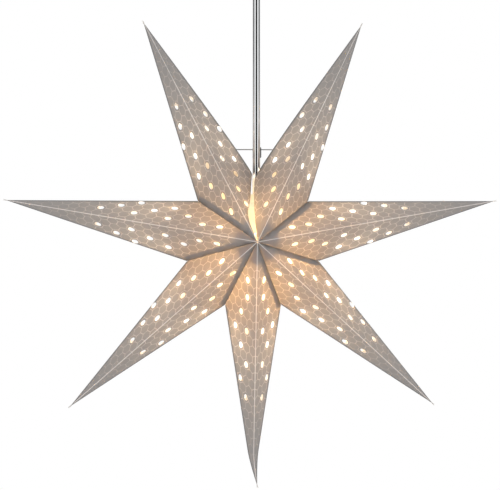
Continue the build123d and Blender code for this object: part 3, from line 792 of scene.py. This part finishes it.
def printed_paper():
    """Grey-brown printed paper: pale honeycomb lines, plain borders darkened by painted shade along
    the side creases, and worn, pale ridges.
    """
    material, recipe, output = new_material("printed_paper")
    pattern = recipe.add("ShaderNodeUVMap", uv_map="pattern").outputs[0]
    margins = recipe.add("ShaderNodeUVMap", uv_map="margins").outputs[0]
    along, across = recipe.parts(pattern)
    from_crease, from_valley = recipe.parts(margins)
    wobble = recipe.add(
        "ShaderNodeTexNoise", {"Vector": pattern, "Scale": LINE_WANDER_SCALE, "Detail": 1.0}
    )
    wander = recipe.vector("SUBTRACT", wobble.outputs["Color"], (0.5, 0.5, 0.5))
    wander = recipe.vector("MULTIPLY", wander, (LINE_WANDER, LINE_WANDER, 0))
    moved = recipe.vector("ADD", pattern, wander)
    cells = recipe.use(HONEYCOMB, moved, "Line Width", LINE_WIDTH)
    grain = recipe.use(FIBRES, pattern, "Cloud Size", 55.0)
    # Where the lines are printed: not on the border, the glued band, the doubled paper or the tip
    patchy = recipe.add(
        "ShaderNodeTexNoise", {"Vector": pattern, "Scale": WORN_SCALE, "Detail": 2.0}
    )
    printed = cells["Line"]
    for limit in (
        recipe.step(from_crease, PLAIN_BORDER * 0.8, PLAIN_BORDER * 1.2),
        recipe.step(patchy.outputs["Fac"], WORN_FROM, WORN_TO),
        recipe.step(along, PATCH_REACH * 0.95, PATCH_REACH * 1.1),
        recipe.math("SUBTRACT", 1.0, recipe.step(along, FADE_START, FADE_END)),
        recipe.step(from_valley, FLAP_WIDTH * 0.92, FLAP_WIDTH * 1.08),
    ):
        printed = recipe.math("MULTIPLY", printed, limit)
    off_ridge = recipe.math("ABSOLUTE", across)
    worn = recipe.math("SUBTRACT", 1.0, recipe.step(off_ridge, RIDGE_LINE * 0.7, RIDGE_LINE * 1.4))
    # Painted shade: the face darkens towards the side crease, over the plain border
    past_crease_shade = recipe.step(from_crease, PLAIN_BORDER * 0.3, PLAIN_BORDER)
    ground = recipe.tone(grain["Cloud"], GROUND_FACE, 0.93, 1.07)
    face = recipe.mix(past_crease_shade, scaled(GROUND_FACE, BORDER_SHADE_FACE), ground)
    face = recipe.mix(worn, recipe.mix(printed, face, LINE_FACE), RIDGE_FACE)
    # Painted shadow: what passes through the paper falls almost to nothing beside the side crease
    past_shadow = recipe.step(from_crease, PLAIN_BORDER * 0.3, PLAIN_BORDER * 1.3)
    ground = recipe.tone(grain["Cloud"], GROUND_GLOW, 0.8, 1.2)
    glow = recipe.mix(past_shadow, scaled(GROUND_GLOW, BORDER_SHADE_GLOW), ground)
    glow = recipe.mix(worn, recipe.mix(printed, glow, LINE_GLOW), RIDGE_GLOW)
    finish_thin(recipe, output, face, glow, PAPER_THROUGH, grain["Fibre"], 0.25, 0.85)
    return material


def plain_paper(name, face, glow, share):
    """Unprinted paper or card with clouds and fibres."""
    material, recipe, output = new_material(name)
    grain = recipe.use(FIBRES, recipe.own_place(), "Cloud Size", 40.0)
    surface = recipe.tone(grain["Cloud"], face, 0.95, 1.05)
    lit = recipe.tone(grain["Cloud"], glow, 0.9, 1.1)
    finish_thin(recipe, output, surface, lit, share, grain["Fibre"], 0.2, 0.9)
    return material


def handled(name, colour, tones, roughness, grain, bump, **looks):
    """A material with faint smudges and fine marks.

    tones and roughness are each a pair that the smudges go between, and bump is the strength
    and depth of the marks.
    """
    material, recipe, output = new_material(name)
    marks = recipe.use(HANDLING, recipe.own_place(), "Grain", grain)
    strength, distance = bump
    raised = recipe.add(
        "ShaderNodeBump", {"Strength": strength, "Distance": distance, "Height": marks["Scratch"]}
    )
    face = recipe.add("ShaderNodeBsdfPrincipled", {
        "Base Color": recipe.tone(marks["Smudge"], colour, *tones),
        "Roughness": recipe.spread(marks["Smudge"], *roughness),
        "Normal": raised.outputs[0],
        **{label.replace("_", " "): value for label, value in looks.items()},
    })
    recipe.tree.links.new(face.outputs[0], output.inputs["Surface"])
    return material


def metal(name, colour, roughness, grain, wear):
    """Metal: more wear makes it rougher where it is smudged, and deepens its marks."""
    rough = (roughness, roughness + wear)
    return handled(name, colour, (0.94, 1.04), rough, grain, (wear, 0.00005), Metallic=1.0)


def moulded(name, colour, roughness, grain, coat=0.0):
    """Moulded plastic, ceramic or dark glass."""
    rough = (roughness - 0.05, roughness + 0.08)
    return handled(name, colour, (0.9, 1.1), rough, grain, (0.15, 0.0001), Coat_Weight=coat)


def clear_glass():
    """The lamp's glass, with faint smudges."""
    material, recipe, output = new_material("clear_glass")
    marks = recipe.use(HANDLING, recipe.own_place(), "Grain", 40.0)
    face = recipe.add("ShaderNodeBsdfPrincipled", {
        "Base Color": (1.0, 0.98, 0.94, 1.0),
        "Roughness": recipe.spread(marks["Smudge"], 0.0, 0.04),
        "Transmission Weight": 1.0,
        "IOR": 1.45,
    })
    recipe.tree.links.new(face.outputs[0], output.inputs["Surface"])
    return material


def glowing_filament():
    """Filaments that glow, a little unevenly along their length."""
    material, recipe, output = new_material("filament")
    beads = recipe.add("ShaderNodeTexNoise", {"Vector": recipe.own_place(), "Scale": 700.0})
    tint = recipe.mix(beads.outputs["Fac"], (1.0, 0.62, 0.18), (1.0, 0.8, 0.4))
    face = recipe.add("ShaderNodeBsdfPrincipled", {
        "Base Color": tint, "Roughness": 0.5, "Emission Color": tint, "Emission Strength": 6.0,
    })
    recipe.tree.links.new(face.outputs[0], output.inputs["Surface"])
    return material


NODE_FINISHES = {
    "chrome": ("lamp_tube", "yoke_locknut"),
    "satin_chrome": ("hanging_yoke",),
    "steel_wire": ("hanger_wire",),
    "dark_steel": (
        "clamp_block", "clamp_thumb_screw", "clamp_fixing_screw", "yoke_set_screw",
        "holder_set_screw",
    ),
    "brass": ("bulb_cap", "thread_shell", "centre_contact", "terminal_screws", "bulb_contact"),
    "gland_plastic": ("cord_gland",),
    "flex_sheath": ("inner_flex",),
    "core_insulation": ("flex_cores",),
    "holder_plastic": ("holder_cap", "holder_body", "shade_ring"),
    "holder_ceramic": ("holder_insert",),
    "black_glass": ("bulb_insulator",),
    "clear_glass": ("bulb_glass", "bulb_stem"),
    "filament": ("bulb_filaments",),
}


def finish_nodes(finishes):
    """Gives the CAD nodes that stay shown their materials."""
    for label, nodes in NODE_FINISHES.items():
        for node in nodes:
            shown = frame["nodes"][node]
            shown.data.materials.clear()
            shown.data.materials.append(finishes[label])


# Surroundings and light

FLOOR_BELOW = 0.30
FLOOR_RADIUS = 1.25
FLOOR_SIDES = 96
DARK_CARD = (0.015, 0.015, 0.016)
CARD_HALF_WIDTH = radians(24)       # each card's, seen from the star, and how soft its edge is
CARD_EDGE = radians(3)
WARM = (1.0, 0.69, 0.37)
PALE = (1.0, 0.98, 0.98)
LAMP_WATTS = 1.42
GLEAM_WATTS = 1.55          # the light that the paper passes on into each point
GLEAM_START = 0.055         # where it starts, from the star's middle
GLEAM_SPREAD = radians(76)
LAMP_SIZE = 0.012
GLEAM_SIZE = 0.008


def add_floor():
    """A plain pale floor, well below the star."""
    height = cad_low.z - FLOOR_BELOW
    turns = [2 * pi * number / FLOOR_SIDES for number in range(FLOOR_SIDES)]
    rim = [(sin(turn) * FLOOR_RADIUS, -cos(turn) * FLOOR_RADIUS, height) for turn in turns]
    mesh = bpy.data.meshes.new("floor")
    mesh.from_pydata(rim, [], [range(FLOOR_SIDES)])
    material, recipe, output = new_material("floor")
    cloud = recipe.add("ShaderNodeTexNoise", {"Vector": recipe.own_place(), "Scale": 3.0})
    tint = recipe.mix(cloud.outputs["Fac"], (0.93, 0.93, 0.93), (0.95, 0.95, 0.95))
    face = recipe.add("ShaderNodeBsdfPrincipled", {
        "Base Color": tint, "Roughness": 1.0, "Specular IOR Level": 0.0,
    })
    recipe.tree.links.new(face.outputs[0], output.inputs["Surface"])
    mesh.materials.append(material)
    floor = add_object("floor", mesh)


def add_surroundings():
    """White all round, with dark upright cards that only mirror-like metal shows."""
    world = bpy.data.worlds.new("studio")
    world.use_nodes = True
    world.node_tree.nodes.clear()
    recipe = Recipe(world.node_tree)
    output = recipe.add("ShaderNodeOutputWorld")
    way = recipe.add("ShaderNodeTexCoord").outputs["Generated"]
    level = recipe.vector("NORMALIZE", recipe.vector("MULTIPLY", way, (1, 1, 0)))
    sideways = [recipe.math("ABSOLUTE", part) for part in recipe.parts(level)]
    card = recipe.step(
        recipe.math("MAXIMUM", *sideways),
        cos(CARD_HALF_WIDTH + CARD_EDGE),
        cos(CARD_HALF_WIDTH - CARD_EDGE),
    )
    seen = recipe.add("ShaderNodeLightPath").outputs["Is Glossy Ray"]
    colour = recipe.mix(recipe.math("MULTIPLY", card, seen), (1.0, 1.0, 1.0), DARK_CARD)
    light = recipe.add("ShaderNodeBackground", {"Color": colour, "Strength": 1.0})
    recipe.tree.links.new(light.outputs[0], output.inputs["Surface"])
    bpy.context.scene.world = world


def add_light(name, kind, place, watts, colour, size, body, way=None):
    """A light that moves with a body. A spot looks that way."""
    data = bpy.data.lights.new(name, kind)
    data.energy = watts
    data.color = colour
    data.shadow_soft_size = size
    if kind == "SPOT":
        data.spot_size = GLEAM_SPREAD
        data.spot_blend = 1.0
    lamp = add_object(name, data)
    lamp.location = place
    if way is not None:
        lamp.rotation_euler = way.to_track_quat("-Z", "Y").to_euler()
    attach(lamp, body)


def add_lights():
    """The lamp, and a spot in each point for the light that its paper scatters outwards."""
    low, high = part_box("bulb_filaments")
    add_light("lamp_light", "POINT", (low + high) / 2, LAMP_WATTS, WARM, LAMP_SIZE, "lamp")
    for node in ("bulb_glass", "bulb_filaments", "bulb_stem"):
        frame["nodes"][node].visible_shadow = False
    for name, (turn, _) in POINTS.items():
        place = spoke(turn, GLEAM_START)
        add_light(
            f"gleam_{name}", "SPOT", place, GLEAM_WATTS, PALE, GLEAM_SIZE, point_body(name),
            way=place - STAR,
        )


def main():
    add_camera()
    add_surroundings()
    add_floor()
    finishes = {
        "chrome": metal("chrome", (0.86, 0.87, 0.88), 0.06, 300.0, 0.03),
        "satin_chrome": metal("satin_chrome", (0.80, 0.81, 0.82), 0.30, 300.0, 0.08),
        "steel_wire": metal("steel_wire", (0.30, 0.29, 0.29), 0.35, 500.0, 0.12),
        "dark_steel": metal("dark_steel", (0.12, 0.12, 0.125), 0.38, 400.0, 0.12),
        "brass": metal("brass", (0.80, 0.58, 0.27), 0.25, 350.0, 0.10),
        "gland_plastic": moulded("gland_plastic", (0.03, 0.03, 0.03), 0.5, 900.0),
        "flex_sheath": moulded("flex_sheath", (0.75, 0.75, 0.73), 0.45, 600.0),
        "core_insulation": moulded("core_insulation", (0.35, 0.18, 0.09), 0.4, 600.0),
        "holder_plastic": moulded("holder_plastic", (0.82, 0.81, 0.78), 0.4, 900.0),
        "holder_ceramic": moulded("holder_ceramic", (0.86, 0.85, 0.82), 0.3, 500.0, coat=0.5),
        "black_glass": moulded("black_glass", (0.012, 0.012, 0.014), 0.12, 300.0, coat=0.6),
        "clear_glass": clear_glass(),
        "filament": glowing_filament(),
    }
    finish_nodes(finishes)
    outside = printed_paper()
    inside = plain_paper("paper_inside", (0.95, 0.92, 0.86), (0.80, 0.74, 0.66), PAPER_THROUGH)
    card = plain_paper("patch_card", (0.55, 0.48, 0.42), (0.70, 0.60, 0.52), CARD_THROUGH)
    for name in NAMES:
        paper_point(name, outside, inside)
        card_patch(name, card)
    for side in ("left", "right"):
        eyelet = copy_of_node(f"eyelet_{side}", f"brass_eyelet_{side}", finishes["brass"])
        hang(eyelet, f"upper_{side}", f"eyelet_{side}")
    add_lights()
    bpy.context.scene.view_settings.view_transform = "Standard"


main()
